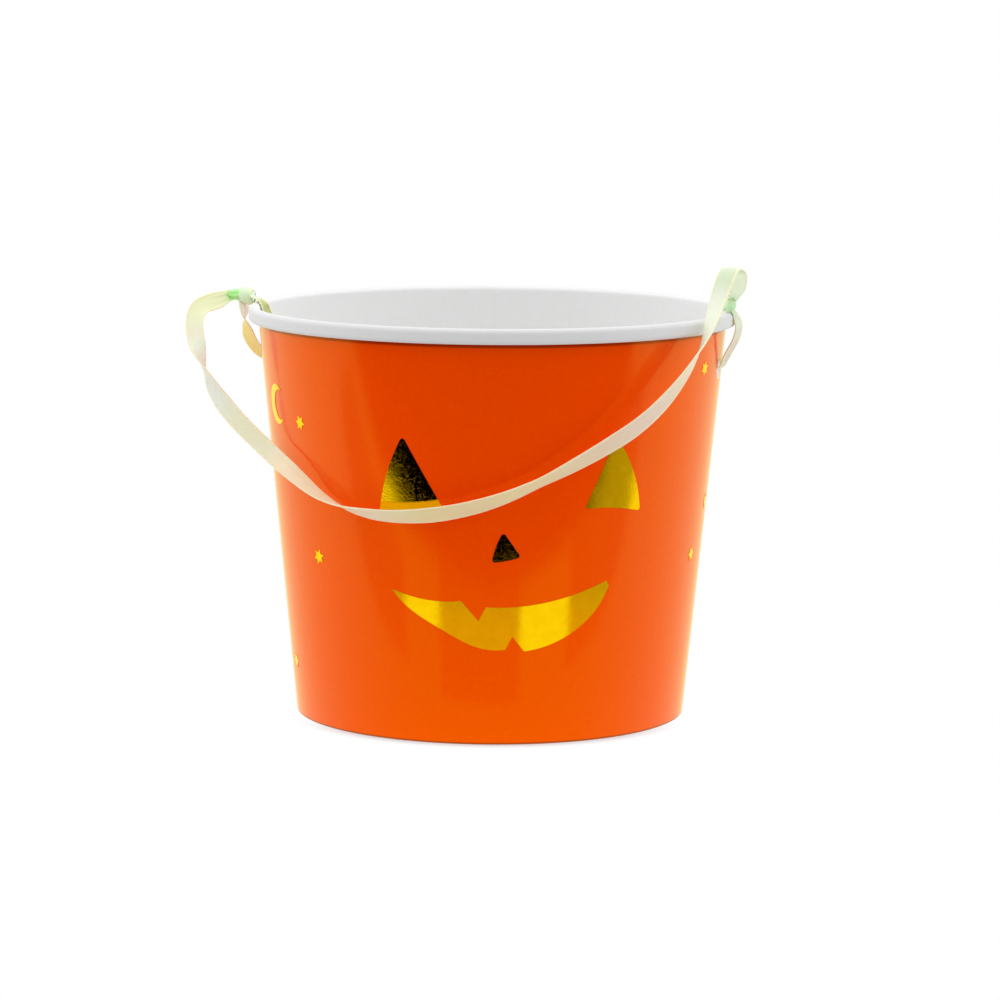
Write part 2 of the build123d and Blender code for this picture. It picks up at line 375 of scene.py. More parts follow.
@dataclass(frozen=True)
class GoldFoil(Finish):
    """Mirror-bright stamped foil with the grain of the board under it and a sparkle of specks."""

    name = "gold_foil"
    bright: Colour = (1.0, 0.62, 0.002)
    deep: Colour = (0.97, 0.58, 0.001)
    grain_size: float = 0.00025
    speck_size: float = 0.0004
    speck_band: Band = (0.45, 0.8)
    press_size: float = 0.004
    press_band: Band = (0.3, 0.7)
    relief_depth: float = 0.000025
    relief_strength: float = 0.3
    roughness: float = 0.05
    press_roughness: float = 0.04

    def surface(self, nodes: Nodes) -> dict[str, object]:
        """Press the foil on the board.

        Args:
            nodes: The material's nodes.

        Returns:
            Values or signals of the shader's sockets.
        """
        at = nodes.place()
        grain = nodes.noise(at, self.grain_size, 2.0)
        specks = nodes.noise(at, self.speck_size, 1.0).rise(*self.speck_band)
        press = nodes.noise(at, self.press_size, 1.0)
        return {
            "Base Color": nodes.mix(press.rise(*self.press_band), self.deep, self.bright),
            "Metallic": 1.0,
            "Roughness": self.roughness + self.press_roughness * press,
            "Normal": nodes.bump(grain + specks, self.relief_depth, self.relief_strength),
        }


@dataclass(frozen=True)
class SatinRibbon(Finish):
    """Woven satin in the colour given along it, dye with painted shade and painted reflection in places:
    fine warp lines and bright stitched selvedges.
    """

    name = "satin_ribbon"
    selvedge: Colour = (1.0, 0.92, 0.52)
    threads: float = 64.0
    stitch: float = 0.0009
    selvedge_share: float = 0.19
    selvedge_core_share: float = 0.6
    hem_share: float = 0.85
    stitch_share: float = 0.3
    warp_share: float = 0.5
    slub_share: float = 0.4
    slub_scale: Spot = (90.0, 40.0, 1.0)
    slub_dark: float = 0.93
    slub_rise: float = 0.14
    roughness: float = 0.36
    slub_roughness: float = 0.16
    edge_roughness: float = 0.15
    translucency: float = 0.9
    scatter_tint: Colour = (1.0, 1.0, 0.9)
    scatter_depth: float = 0.0012
    relief_depth: float = 0.00002
    relief_strength: float = 0.25

    def surface(self, nodes: Nodes) -> dict[str, object]:
        """Weave the satin.

        Args:
            nodes: The material's nodes.

        Returns:
            Values or signals of the shader's sockets.
        """
        cloth = nodes.node("UVMap", {"uv_map": "cloth"})
        parts = nodes.node("SeparateXYZ", None, {0: cloth})
        along, across = parts.pick("X"), parts.pick("Y")
        from_middle = abs(across * 2 - 1)
        edge = from_middle.rise(1 - self.selvedge_share, 1 - self.selvedge_core_share * self.selvedge_share)
        warp = (across * (2 * math.pi * self.threads)).sine() * 0.5 + 0.5
        picks = (along * (2 * math.pi / self.stitch)).sine() * 0.5 + 0.5
        slub = nodes.noise(nodes.stretched(cloth, self.slub_scale), 1.0, 3.0)
        # The colour attribute holds the dye, with painted shade and painted reflection along some stretches.
        dye_and_light = nodes.node("Attribute", {"attribute_name": "dye_and_light"}, None, "Color")
        level = self.slub_dark + self.slub_rise * slub
        shade = nodes.node("VectorMath", {"operation": "SCALE"}, {0: dye_and_light, "Scale": level})
        hem = nodes.mix(self.hem_share, dye_and_light, self.selvedge)
        stitched = edge * (1 - self.stitch_share + self.stitch_share * picks)
        relief = warp * (1 - edge) * self.warp_share + picks * edge + slub * self.slub_share
        return {
            "Base Color": nodes.mix(stitched, shade, hem),
            "Roughness": self.roughness + self.slub_roughness * slub + self.edge_roughness * edge,
            "Specular IOR Level": 0.5,
            "Sheen Weight": 0.25,
            "Sheen Roughness": 0.35,
            "Subsurface Weight": self.translucency,
            "Subsurface Radius": self.scatter_tint,
            "Subsurface Scale": self.scatter_depth,
            "Normal": nodes.bump(relief, self.relief_depth, self.relief_strength),
        }


@dataclass(frozen=True)
class TiedSatin(SatinRibbon):
    """Satin drawn tight into a knot, which lets next to no light through."""

    name = "tied_satin"
    translucency: float = 0.05


class DyeAndPaintedLight(Enum):
    """Colours that the satin takes along its length: dyes, and painted light where a dark or orange tone
    stands for shade or reflected light.
    """

    HONEY = (0.98, 0.93, 0.47)
    BUTTER = (1.0, 1.0, 0.58)
    PEARL = (0.98, 1.0, 0.66)
    STRAW = (0.69, 0.86, 0.55)
    PALE = (0.93, 0.9, 0.67)
    MIST = (0.79, 0.87, 0.66)
    # SAGE is painted shade on the top of the handle's curl.
    SAGE = (0.61, 0.69, 0.51)
    SPROUT = (0.77, 0.87, 0.52)
    MINT = (0.68, 1.0, 0.6)
    ICE = (0.8, 1.0, 0.66)
    DEW = (0.71, 1.0, 0.74)
    FROST = (0.84, 1.0, 0.95)
    LIME = (0.46, 1.0, 0.33)
    # AMBER is painted reflection: the orange light of the wall on the ribbon beside it.
    AMBER = (1.0, 0.73, 0.29)
    # OLIVE is painted shade on the ribbon inside the pail.
    OLIVE = (0.5, 0.54, 0.2)


DyeAndLightMarks = Sequence[tuple[float, DyeAndPaintedLight]]


def dye_and_light_along(share: np.ndarray, marks: DyeAndLightMarks) -> np.ndarray:
    """Colours along a stretch of ribbon.

    Args:
        share: Shares of the length.
        marks: Dyes and painted light at some shares, in order.

    Returns:
        A colour for each share, blended between the marks.
    """
    places = [place for place, _ in marks]
    colours = np.array([dye_and_light.value for _, dye_and_light in marks])
    return np.column_stack([np.interp(share, places, colours[:, channel]) for channel in range(3)])


def mesh_object(
    name: str,
    spots: np.ndarray,
    faces: list[list[int]],
    finishes: Sequence[Finish],
    picks: Sequence[int] | None = None,
    sharp: float = 40.0,
) -> bpy.types.Object:
    """Make a smooth-shaded object from points and faces.

    Args:
        name: Name of the object.
        spots: Points, one a row.
        faces: Point numbers of each face.
        finishes: Its materials.
        picks: Number of the material of each face.
        sharp: Turn in degrees past which an edge is drawn crisp.

    Returns:
        The object, in the scene.
    """
    mesh = bpy.data.meshes.new(name)
    mesh.from_pydata(spots.tolist(), [], faces)
    for finish in finishes:
        mesh.materials.append(finish.make())
    if picks is not None:
        mesh.polygons.foreach_set("material_index", np.asarray(picks, np.int32))
    shape = bmesh.new()
    shape.from_mesh(mesh)
    bmesh.ops.recalc_face_normals(shape, faces=shape.faces)
    shape.to_mesh(mesh)
    shape.free()
    mesh.shade_smooth()
    mesh.set_sharp_from_angle(angle=math.radians(sharp))
    made = bpy.data.objects.new(name, mesh)
    bpy.context.scene.collection.objects.link(made)
    return made


def tube_faces(rings: int, around: int) -> list[list[int]]:
    """Faces of a tube of rings, closed at both ends.

    Args:
        rings: Number of rings.
        around: Points of each ring.

    Returns:
        Point numbers of each face.
    """
    faces = []
    for i in range(rings - 1):
        for j in range(around):
            k = (j + 1) % around
            faces.append([i * around + j, (i + 1) * around + j, (i + 1) * around + k, i * around + k])
    faces.append(list(range(around)))
    faces.append([(rings - 1) * around + j for j in range(around)])
    return faces


def smooth_step(value: np.ndarray | float, low: float, high: float) -> np.ndarray:
    """Smooth rise from 0 at low to 1 at high."""
    share = np.clip((np.asarray(value, float) - low) / (high - low), 0.0, 1.0)
    return share * share * (3 - 2 * share)


def round_z(azimuth: float) -> np.ndarray:
    """Unit vector that points outwards at an azimuth."""
    turn = math.radians(azimuth)
    return np.array([math.sin(turn), -math.cos(turn), 0.0])


@dataclass(frozen=True)
class PailSizes:
    """Sizes of the paper pail, shared by its pieces."""

    rim_diameter: float = 0.165
    foot_diameter: float = 0.1318
    height: float = 0.138
    board: float = 0.0005
    roll_width: float = 0.0036
    roll_height: float = 0.0051
    roll_gap: float = 0.0001
    base_rise: float = 0.01
    glue_gap: float = 0.00003
    seam_lap: float = 0.01
    seam_azimuth: float = 184.0
    hole_diameter: float = 0.007
    hole_drop: float = 0.019
    hole_azimuth: float = 78.0
    hinge_rise: float = 0.0024

    @property
    def rim_radius(self) -> float:
        """Radius over the rolled rim."""
        return self.rim_diameter / 2

    @property
    def roll_top_z(self) -> float:
        """Height of the middle of the roll's upper arc."""
        return self.height - self.roll_width / 2

    @property
    def lap_top_z(self) -> float:
        """Height of the seam's upper end, under the roll."""
        return self.height - self.roll_height - self.board

    @property
    def hole_z(self) -> float:
        """Height of the middle of the holes."""
        return self.height - self.hole_drop

    @property
    def hinge_z(self) -> float:
        """Height of the line that the handle turns on."""
        return self.height + self.hinge_rise

    def wall(self, z: float | np.ndarray) -> float | np.ndarray:
        """Radius of the wall's outer face.

        Args:
            z: A height, or several.

        Returns:
            The radius at each height.
        """
        foot = self.foot_diameter / 2
        top = self.rim_radius - self.roll_width + self.board
        return foot + (top - foot) / self.roll_top_z * z


class Side(Enum):
    """Which run of the wall's section a point is on."""

    OUTSIDE = 0
    HIDDEN = 1
    ROLL = 2
    INSIDE = 3
    FOLD = 4


@dataclass(frozen=True)
class Sidewall:
    """Printed board cone with a rolled rim, a folded foot, a lapped seam and two holes."""

    sizes: PailSizes
    columns: int = 240
    rows_below: int = 16
    rows_beside: int = 7
    rows_above: int = 4
    window_columns: int = 3
    window_height: float = 0.0056
    window_rings: int = 3
    window_slack: float = 1.001
    roll_steps: int = 18
    fold_radius: float = 0.00045
    fold_steps: int = 5
    lap_ramp: float = 3.0
    edge_turn: float = 0.03
    edge_room: float = 0.12
    inner_lap: float = 0.00025
    inner_lap_foot: float = 0.014
    roll_seam: float = 0.00012

    def arc(
        self, centre: tuple[float, float], radius: float, start: float, end: float, steps: int
    ) -> np.ndarray:
        """Points of an arc in the section, as radius and height."""
        turns = np.radians(np.linspace(start, end, steps + 1))
        return np.column_stack([centre[0] + radius * np.cos(turns), centre[1] + radius * np.sin(turns)])

    def wall_heights(self, low: float, high: float) -> np.ndarray:
        """Heights of the wall's rows, closer together beside the holes.

        Args:
            low: Height of the lowest row.
            high: Height of the highest row.

        Returns:
            The heights, upwards.
        """
        under, over = self.sizes.hole_z - self.window_height, self.sizes.hole_z + self.window_height
        below = np.linspace(low, under, self.rows_below)
        beside = np.linspace(under, over, self.rows_beside)
        above = np.linspace(over, high, self.rows_above)
        return np.concatenate([below, beside[1:], above[1:]])

    def section(self) -> tuple[np.ndarray, list[Side]]:
        """Closed section of the board.

        Returns:
            Its points as radius and height, and the run that each point starts.
        """
        s = self.sizes
        top = (s.rim_radius - s.roll_width / 2, s.roll_top_z)
        tail_radius = (s.roll_width - s.board - s.roll_gap) / 2
        tail = (s.rim_radius - tail_radius, s.height - s.roll_height + tail_radius)
        fold_width = 3 * s.board + 2 * s.glue_gap
        hem_top = s.base_rise - s.board - s.glue_gap
        fold = self.fold_radius
        lapped = self.wall_heights(fold + s.board, s.lap_top_z)
        outside = np.concatenate([[fold], lapped, [s.lap_top_z + s.board, s.roll_top_z]])
        inside = self.wall_heights(s.board, s.roll_top_z)[::-1]
        hem = np.array([s.board, hem_top])
        foot = s.wall(0.0)
        corner_in = foot - fold_width + fold
        runs = [
            (Side.OUTSIDE, np.column_stack([s.wall(outside), outside])),
            (Side.HIDDEN, self.arc(top, s.roll_width / 2 - s.board, 180, 0, self.roll_steps)[1:]),
            (Side.HIDDEN, self.arc(tail, tail_radius - s.board, 0, -180, self.roll_steps)),
            (Side.ROLL, self.arc(tail, tail_radius, -180, 0, self.roll_steps)),
            (Side.ROLL, self.arc(top, s.roll_width / 2, 0, 180, self.roll_steps)),
            (Side.INSIDE, np.column_stack([s.wall(inside) - s.board, inside])[1:]),
            (Side.HIDDEN, np.column_stack([s.wall(hem) - fold_width + s.board, hem])),
            (Side.FOLD, np.array([[s.wall(hem_top) - fold_width, hem_top]])),
            (Side.FOLD, self.arc((corner_in, fold), fold, 180, 270, self.fold_steps)),
            (Side.FOLD, self.arc((foot - fold, fold), fold, 270, 360, self.fold_steps)[:-1]),
        ]
        points = np.concatenate([points for _, points in runs])
        sides = [side for side, points in runs for _ in points]
        return points, sides

    def azimuths(self) -> np.ndarray:
        """Azimuths of the columns, with pairs close together at the seam's crisp edges.

        Returns:
            The azimuths, upwards.
        """
        even = np.arange(self.columns) * (360.0 / self.columns)
        crisp = np.array([edge + turn for edge in self.seam() for turn in (-self.edge_turn, self.edge_turn)])
        far = np.min(np.abs(even[:, None] - crisp[None, :]), axis=1) > self.edge_room
        return np.sort(np.concatenate([even[far], crisp]))

    def seam(self) -> tuple[float, float]:
        """Azimuths of the lap's two edges."""
        half = math.degrees(self.sizes.seam_lap / self.sizes.foot_diameter)
        return self.sizes.seam_azimuth - half, self.sizes.seam_azimuth + half

    def spots(self, section: np.ndarray, sides: list[Side], azimuths: np.ndarray) -> np.ndarray:
        """Points of the turned section, a row for each of its points.

        Args:
            section: Points of the section.
            sides: The run of each point.
            azimuths: Azimuths of the columns.

        Returns:
            Points by row and column.
        """
        s = self.sizes
        first, last = self.seam()
        over = smooth_step(azimuths, first, first + self.lap_ramp) * (azimuths < last)
        under = (1 - smooth_step(azimuths, last - self.lap_ramp, last)) * (azimuths > first)
        both = over * under
        roll_middle = np.array([s.rim_radius - s.roll_width / 2, s.height - s.roll_height / 2])
        grid = np.zeros((len(section), len(azimuths), 3))
        turns = np.radians(azimuths)
        for row, (point, side) in enumerate(zip(section, sides)):
            out = np.tile(point, (len(azimuths), 1))
            if side is Side.OUTSIDE and s.board < point[1] <= s.lap_top_z:
                out[:, 0] += s.board * over
            if side is Side.INSIDE:
                fade = smooth_step(point[1], s.base_rise, self.inner_lap_foot)
                out[:, 0] -= self.inner_lap * under * fade
            if side is Side.ROLL:
                away = (point - roll_middle) / np.linalg.norm(point - roll_middle)
                out += self.roll_seam * both[:, None] * away
            grid[row] = np.column_stack([out[:, 0] * np.sin(turns), -out[:, 0] * np.cos(turns), out[:, 1]])
        return grid

    def build(self) -> bpy.types.Object:
        """Make the wall with its holes.

        Returns:
            The wall's object.
        """
        section, sides = self.section()
        azimuths = self.azimuths()
        grid = self.spots(section, sides, azimuths)
        rows, columns = grid.shape[:2]
        spots = list(grid.reshape(-1, 3))
        printed, plain = 0, 1
        finish_of = {
            Side.OUTSIDE: printed,
            Side.FOLD: printed,
            Side.HIDDEN: plain,
            Side.ROLL: plain,
            Side.INSIDE: plain,
        }
        windows = [
            self.window(section, sides, azimuths, side, turn)
            for turn in (self.sizes.hole_azimuth, self.sizes.hole_azimuth + 180.0)
            for side in (Side.OUTSIDE, Side.INSIDE)
        ]
        open_cells = set()
        for rows_in, columns_in, *_ in windows:
            open_cells.update(self.cells(rows_in, columns_in))
        lap_edge = np.isclose(azimuths, self.seam()[1] - self.edge_turn)
        faces: list[list[int]] = []
        picks: list[int] = []
        for row in range(rows):
            for column in range(columns):
                if (row, column) in open_cells:
                    continue
                corners = [(row, column), (row + 1, column), (row + 1, column + 1), (row, column + 1)]
                faces.append([(r % rows) * columns + c % columns for r, c in corners])
                raw = lap_edge[column] and sides[row] is Side.OUTSIDE
                picks.append(plain if raw else finish_of[sides[row]])
        rims = []
        for rows_in, columns_in, side, turn in windows:
            ring = self.patch(spots, faces, columns, rows_in, columns_in, side, turn)
            picks += [finish_of[side]] * (len(faces) - len(picks))
            rims.append(ring)
        for outer, inner in zip(rims[0::2], rims[1::2]):
            count = len(outer)
            match = self.nearest_start(spots, outer, inner)
            for step in range(count):
                after = (step + 1) % count
                faces.append([outer[step], outer[after], match[after], match[step]])
                picks.append(plain)
        finishes = (PrintedBoard(), WhiteBoard())
        return mesh_object("pail_wall", np.array(spots), faces, finishes, picks)

    def window(
        self, section: np.ndarray, sides: list[Side], azimuths: np.ndarray, side: Side, turn: float
    ) -> tuple[list[int], list[int], Side, float]:
        """Find the rows and columns round a hole, on one face of the wall.

        Args:
            section: Points of the section.
            sides: The run of each point.
            azimuths: Azimuths of the columns.
            side: The face of the wall.
            turn: Azimuth of the hole.

        Returns:
            The rows, the columns, the face and the hole's azimuth.
        """
        reach = self.window_columns * 360.0 / self.columns + self.edge_turn
        z_near = np.abs(section[:, 1] - self.sizes.hole_z) <= self.window_height * self.window_slack
        rows = [i for i, near in enumerate(z_near) if near and sides[i] is side]
        columns = [i for i, a in enumerate(azimuths) if abs(a - turn) <= reach]
        return rows, columns, side, turn

    def cells(self, rows: list[int], columns: list[int]) -> list[tuple[int, int]]:
        """Cells of the grid between the rows and columns of a window."""
        return [(r, c) for r in rows[:-1] for c in columns[:-1]]

    def patch(
        self,
        spots: list[np.ndarray],
        faces: list[list[int]],
        columns: int,
        rows_in: list[int],
        columns_in: list[int],
        side: Side,
        turn: float,
    ) -> list[int]:
        """Fill a window round its hole with rings that lie on the wall's face.

        Args:
            spots: All points, to which the rings are added.
            faces: All faces, to which the rings are added.
            columns: Columns of the grid.
            rows_in: Rows of the window.
            columns_in: Columns of the window.
            side: The face of the wall.
            turn: Azimuth of the hole.

        Returns:
            Point numbers of the hole's edge.
        """
        s = self.sizes
        low, high = rows_in[0], rows_in[-1]
        first, last = columns_in[0], columns_in[-1]
        border = [(low, c) for c in columns_in[:-1]] + [(r, last) for r in rows_in[:-1]]
        border += [(high, c) for c in columns_in[:0:-1]] + [(r, first) for r in rows_in[:0:-1]]
        outer = [r * columns + c for r, c in border]
        ahead, across = round_z(turn), round_z(turn + 90.0)
        flat = np.array([[spots[i] @ across, spots[i][2] - s.hole_z] for i in outer])
        turns = np.arctan2(flat[:, 1], flat[:, 0])
        hole = s.hole_diameter / 2 * np.column_stack([np.cos(turns), np.sin(turns)])
        inset = s.board if side is Side.INSIDE else 0.0
        previous = outer
        for step in range(1, self.window_rings + 1):
            share = smooth_step(step / self.window_rings, 0.0, 1.0)
            ring = flat + (hole - flat) * share
            here = []
            for sideways, rise in ring:
                radius = s.wall(s.hole_z + rise) - inset
                depth = math.sqrt(radius**2 - sideways**2)
                here.append(len(spots))
                spots.append(ahead * depth + across * sideways + np.array([0.0, 0.0, s.hole_z + rise]))
            for i in range(len(here)):
                j = (i + 1) % len(here)
                faces.append([previous[i], previous[j], here[j], here[i]])
            previous = here
        return previous

    def nearest_start(self, spots: list[np.ndarray], outer: list[int], inner: list[int]) -> list[int]:
        """The inner edge's points in the order of the outer edge's."""
        return [min(inner, key=lambda i: float(np.sum((spots[i] - spots[o]) ** 2))) for o in outer]

    def dress(self) -> bpy.types.Object:
        """Build the wall and let it stand for its solid.

        Returns:
            The wall's object.
        """
        wall = self.build()
        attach(wall, "pail")
        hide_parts("sidewall")
        return wall


def spline_points(route: Sequence[Spot], steps: int = 14) -> np.ndarray:
    """Points of the smooth line that has a route's points as its control points.

    Args:
        route: Control points.
        steps: Points between two control points.

    Returns:
        Points along the line.
    """
    curve = bpy.data.curves.new("route", "CURVE")
    curve.dimensions = "3D"
    curve.resolution_u = steps
    spline = curve.splines.new("NURBS")
    spline.points.add(len(route) - 1)
    for point, spot in zip(spline.points, route):
        point.co = (*spot, 1.0)
    spline.order_u = 3
    spline.use_endpoint_u = True
    holder = bpy.data.objects.new("route", curve)
    mesh = bpy.data.meshes.new_from_object(holder)
    points = np.array([vertex.co for vertex in mesh.vertices], float)
    bpy.data.meshes.remove(mesh)
    bpy.data.curves.remove(curve)
    return points


def units(vectors: np.ndarray) -> np.ndarray:
    """Vectors, one a row, brought to a length of 1."""
    return vectors / np.linalg.norm(vectors, axis=1)[:, None]


def carried(points: np.ndarray, across: np.ndarray, turns: np.ndarray) -> tuple[np.ndarray, np.ndarray]:
    """Carry a width direction along a line, and turn it about the line.

    Args:
        points: Points of the line.
        across: Width direction at the start, before its turn.
        turns: Turn about the line at each point, in radians.

    Returns:
        Width directions and facing directions.
    """
    tangents = units(np.gradient(points, axis=0))
    widths = np.zeros_like(points)
    for i, ahead in enumerate(tangents):
        across = across - ahead * (across @ ahead)
        across = across / np.linalg.norm(across)
        widths[i] = across
    turned = widths * np.cos(turns)[:, None] + np.cross(tangents, widths) * np.sin(turns)[:, None]
    return turned, np.cross(tangents, turned)


@dataclass
class RibbonSizes:
    """Sizes of the satin ribbon, shared by its stretches."""

    width: float = 0.006
    thickness: float = 0.00034
    bead_share: float = 0.8
    bead_place_share: float = 0.94
    bead_width_share: float = 0.045
    brink_share: float = 0.45
    gather_shares: tuple[float, float] = (0.62, 0.48)
    gather_length: float = 0.007
    pleat_length: float = 0.0112
    pleat_depth: float = 0.0004
    pleats: float = 3.0


@dataclass
class Strip:
    """A flat ribbon along a line: what its width, folds and colour do along its length."""

    name: str
    sizes: RibbonSizes
    points: np.ndarray
    across: np.ndarray
    facing: np.ndarray
    width: np.ndarray
    cup: np.ndarray
    pleat: np.ndarray
    dye_and_light: np.ndarray
    finish: Finish = SatinRibbon()

    HALF_SHARES = (0.2, 0.4, 0.6, 0.8, 0.9, 0.94, 0.97, 1.0)

    def build(self) -> bpy.types.Object:
        """Make the ribbon with thickened selvedges.

        Returns:
            The ribbon's object.
        """
        half_shares = np.array(self.HALF_SHARES)
        share = np.concatenate([-half_shares[::-1], [0.0], half_shares])
        from_bead = (np.abs(share) - self.sizes.bead_place_share) / self.sizes.bead_width_share
        half = self.sizes.thickness / 2 * (1 + self.sizes.bead_share * np.exp(-(from_bead**2)))
        half[[0, -1]] *= self.sizes.brink_share
        lift = self.cup[:, None] * (1 - share[None, :] ** 2)
        lift = lift + self.pleat[:, None] * np.sin(math.pi * self.sizes.pleats * share[None, :])
        sideways = self.width[:, None] / 2 * share
        middle = self.points[:, None, :] + self.across[:, None, :] * sideways[:, :, None]
        upper = middle + self.facing[:, None, :] * (lift + half)[:, :, None]
        lower = middle + self.facing[:, None, :] * (lift - half)[:, :, None]
        rings = np.concatenate([upper, lower[:, ::-1]], axis=1)
        faces = tube_faces(*rings.shape[:2])
        made = mesh_object(self.name, rings.reshape(-1, 3), faces, (self.finish,), sharp=70.0)
        widths = np.concatenate([share, share[::-1]]) * 0.5 + 0.5
        paint_cloth(made, lengths_along(self.points), widths, self.dye_and_light)
        return made


def paint_cloth(made: bpy.types.Object, lengths: np.ndarray, widths: np.ndarray, dyes_and_light: np.ndarray) -> None:
    """Write where each point of a tube lies on the cloth, and its colour.

    Args:
        made: The cloth's object.
        lengths: Length coordinate of each ring.
        widths: Width coordinate of each point of a ring.
        dyes_and_light: Colour of each ring.
    """
    mesh = made.data
    cloth = np.stack(np.broadcast_arrays(lengths[:, None], widths[None, :]), axis=-1).reshape(-1, 2)
    dye_and_light = np.repeat(dyes_and_light, len(widths), axis=0)
    loops = np.zeros(len(mesh.loops), np.int32)
    mesh.loops.foreach_get("vertex_index", loops)
    layer = mesh.uv_layers.new(name="cloth")
    layer.uv.foreach_set("vector", cloth[loops].astype(np.float32).ravel())
    colours = mesh.attributes.new("dye_and_light", "FLOAT_COLOR", "POINT")
    opaque = np.column_stack([dye_and_light, np.ones(len(dye_and_light))])
    colours.data.foreach_set("color", opaque.astype(np.float32).ravel())


def lengths_along(points: np.ndarray) -> np.ndarray:
    """Length of a line up to each of its points."""
    return np.concatenate([[0.0], np.cumsum(np.linalg.norm(np.diff(points, axis=0), axis=1))])


@dataclass
class Handle:
    """Ribbon handle from the left knot, round the front, to the right knot."""

    sizes: RibbonSizes
    length: float = 0.323
    cup: float = 0.0003
    corner_share: float = 1 / 90

    ROUTE = (
        (-0.0893, 0.0190, 0.1396),
        (-0.0940, 0.0160, 0.1378),
        (-0.0998, 0.0115, 0.1366),
        (-0.1018, 0.0075, 0.1325),
        (-0.1010, 0.0040, 0.1260),
        (-0.0985, -0.0010, 0.1175),
        (-0.0940, -0.0070, 0.1090),
        (-0.0855, -0.0155, 0.1000),
        (-0.0765, -0.0275, 0.0935),
        (-0.0680, -0.0445, 0.0885),
        (-0.0530, -0.0575, 0.0775),
        (-0.0360, -0.0695, 0.0755),
        (-0.0180, -0.0765, 0.0770),
        (0.0005, -0.0785, 0.0815),
        (0.0170, -0.0765, 0.0885),
        (0.0340, -0.0740, 0.0975),
        (0.0495, -0.0700, 0.1070),
        (0.0615, -0.0615, 0.1190),
        (0.0695, -0.0515, 0.1310),
        (0.0732, -0.0450, 0.1425),
        (0.0760, -0.0405, 0.1512),
        (0.0785, -0.0340, 0.1547),
        (0.0815, -0.0270, 0.1522),
        (0.0816, -0.0205, 0.1465),
        (0.0797, -0.0169, 0.1413),
    )
    TWIST_SHARES = (
        (0.0, 20.0),
        (0.03, 25.0),
        (0.055, 45.0),
        (0.085, 50.0),
        (0.117, -28.0),
        (0.134, -58.0),
        (0.168, -100.0),
        (0.25, -108.0),
        (0.297, -119.0),
        (0.333, -145.0),
        (0.386, -182.0),
        (0.42, -204.0),
        (0.489, -221.0),
        (0.54, -212.0),
        (0.602, -191.0),
        (0.651, -211.0),
        (0.695, -224.0),
        (0.752, -213.0),
        (0.805, -190.0),
        (0.821, -179.0),
        (0.837, -166.0),
        (0.868, -134.0),
        (0.897, -112.0),
        (0.913, -106.0),
        (0.938, -116.0),
        (0.977, -128.0),
        (1.0, -145.0),
    )
    DYE_AND_SHADE_SHARES = (
        (0.0, DyeAndPaintedLight.LIME),
        (0.012, DyeAndPaintedLight.SPROUT),
        (0.05, DyeAndPaintedLight.SPROUT),
        (0.08, DyeAndPaintedLight.MIST),
        (0.1, DyeAndPaintedLight.DEW),
        (0.15, DyeAndPaintedLight.DEW),
        (0.2, DyeAndPaintedLight.STRAW),
        (0.26, DyeAndPaintedLight.STRAW),
        (0.31, DyeAndPaintedLight.BUTTER),
        (0.425, DyeAndPaintedLight.BUTTER),
        (0.48, DyeAndPaintedLight.HONEY),
        (0.61, DyeAndPaintedLight.HONEY),
        (0.67, DyeAndPaintedLight.BUTTER),
        (0.73, DyeAndPaintedLight.PEARL),
        (0.79, DyeAndPaintedLight.BUTTER),
        (0.83, DyeAndPaintedLight.MIST),
        (0.885, DyeAndPaintedLight.MIST),
        # Painted shade: SAGE darkens the top of the curl against the strong light from above.
        (0.905, DyeAndPaintedLight.SAGE),
        (0.945, DyeAndPaintedLight.SAGE),
        (0.96, DyeAndPaintedLight.ICE),
        (0.985, DyeAndPaintedLight.ICE),
        (1.0, DyeAndPaintedLight.MINT),
    )

    def twist(self, share: np.ndarray) -> np.ndarray:
        """Turn about the line, with its corners rounded.

        Args:
            share: Shares of the length.

        Returns:
            A turn in radians at each share.
        """
        shares, turns = np.array(self.TWIST_SHARES).T
        plain = np.interp(share, shares, turns)
        reach = int(len(share) * self.corner_share)
        window = np.hanning(2 * reach + 3)[1:-1]
        padded = np.pad(plain, len(window) // 2, mode="edge")
        return np.radians(np.convolve(padded, window / window.sum(), mode="valid"))

    def strip(self) -> Strip:
        """Lay the ribbon along its route.

        Returns:
            The ribbon, not yet built.
        """
        points = spline_points(self.ROUTE)
        along = lengths_along(points)
        share = along / along[-1]
        across, facing = carried(points, np.array([0.0, 0.0, 1.0]), self.twist(share))
        to_end = along[-1] - along
        from_end = np.minimum(along, to_end)
        spread = smooth_step(from_end, 0.0, self.sizes.gather_length)
        gather = np.where(along < to_end, *self.sizes.gather_shares)
        return Strip(
            name="handle_satin",
            sizes=self.sizes,
            points=points,
            across=across,
            facing=facing,
            width=self.sizes.width * (gather + (1 - gather) * spread),
            cup=np.full(len(points), self.cup),
            pleat=self.sizes.pleat_depth * (1 - smooth_step(from_end, 0.0, self.sizes.pleat_length)),
            dye_and_light=dye_and_light_along(share, self.DYE_AND_SHADE_SHARES),
        )

    def dress(self, with_pieces: Sequence[bpy.types.Object]) -> bpy.types.Object:
        """Build the handle and let it stand for its solid.

        Args:
            with_pieces: Not used.

        Returns:
            The handle's object.
        """
        strip = self.strip()
        handle = strip.build()
        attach(handle, "handle")
        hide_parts("handle_ribbon")
        return handle


@dataclass(frozen=True)
class LoopSizes:
    """What differs between the two loops, and their knots."""

    side: str
    azimuth: float
    knot_reach: float
    knot_drop: float
    knot_lead: float
    leg_start: float
    loop_reach: float
    rim_lead: float
    rim_gather: float
    rim_share: float
    end_share: float
    hole_reach: float
    belly: float
    turns: tuple[tuple[float, float], ...]
    dyes_and_light: DyeAndLightMarks
    clearance: float = 0.0012
    seat: float = 0.0002


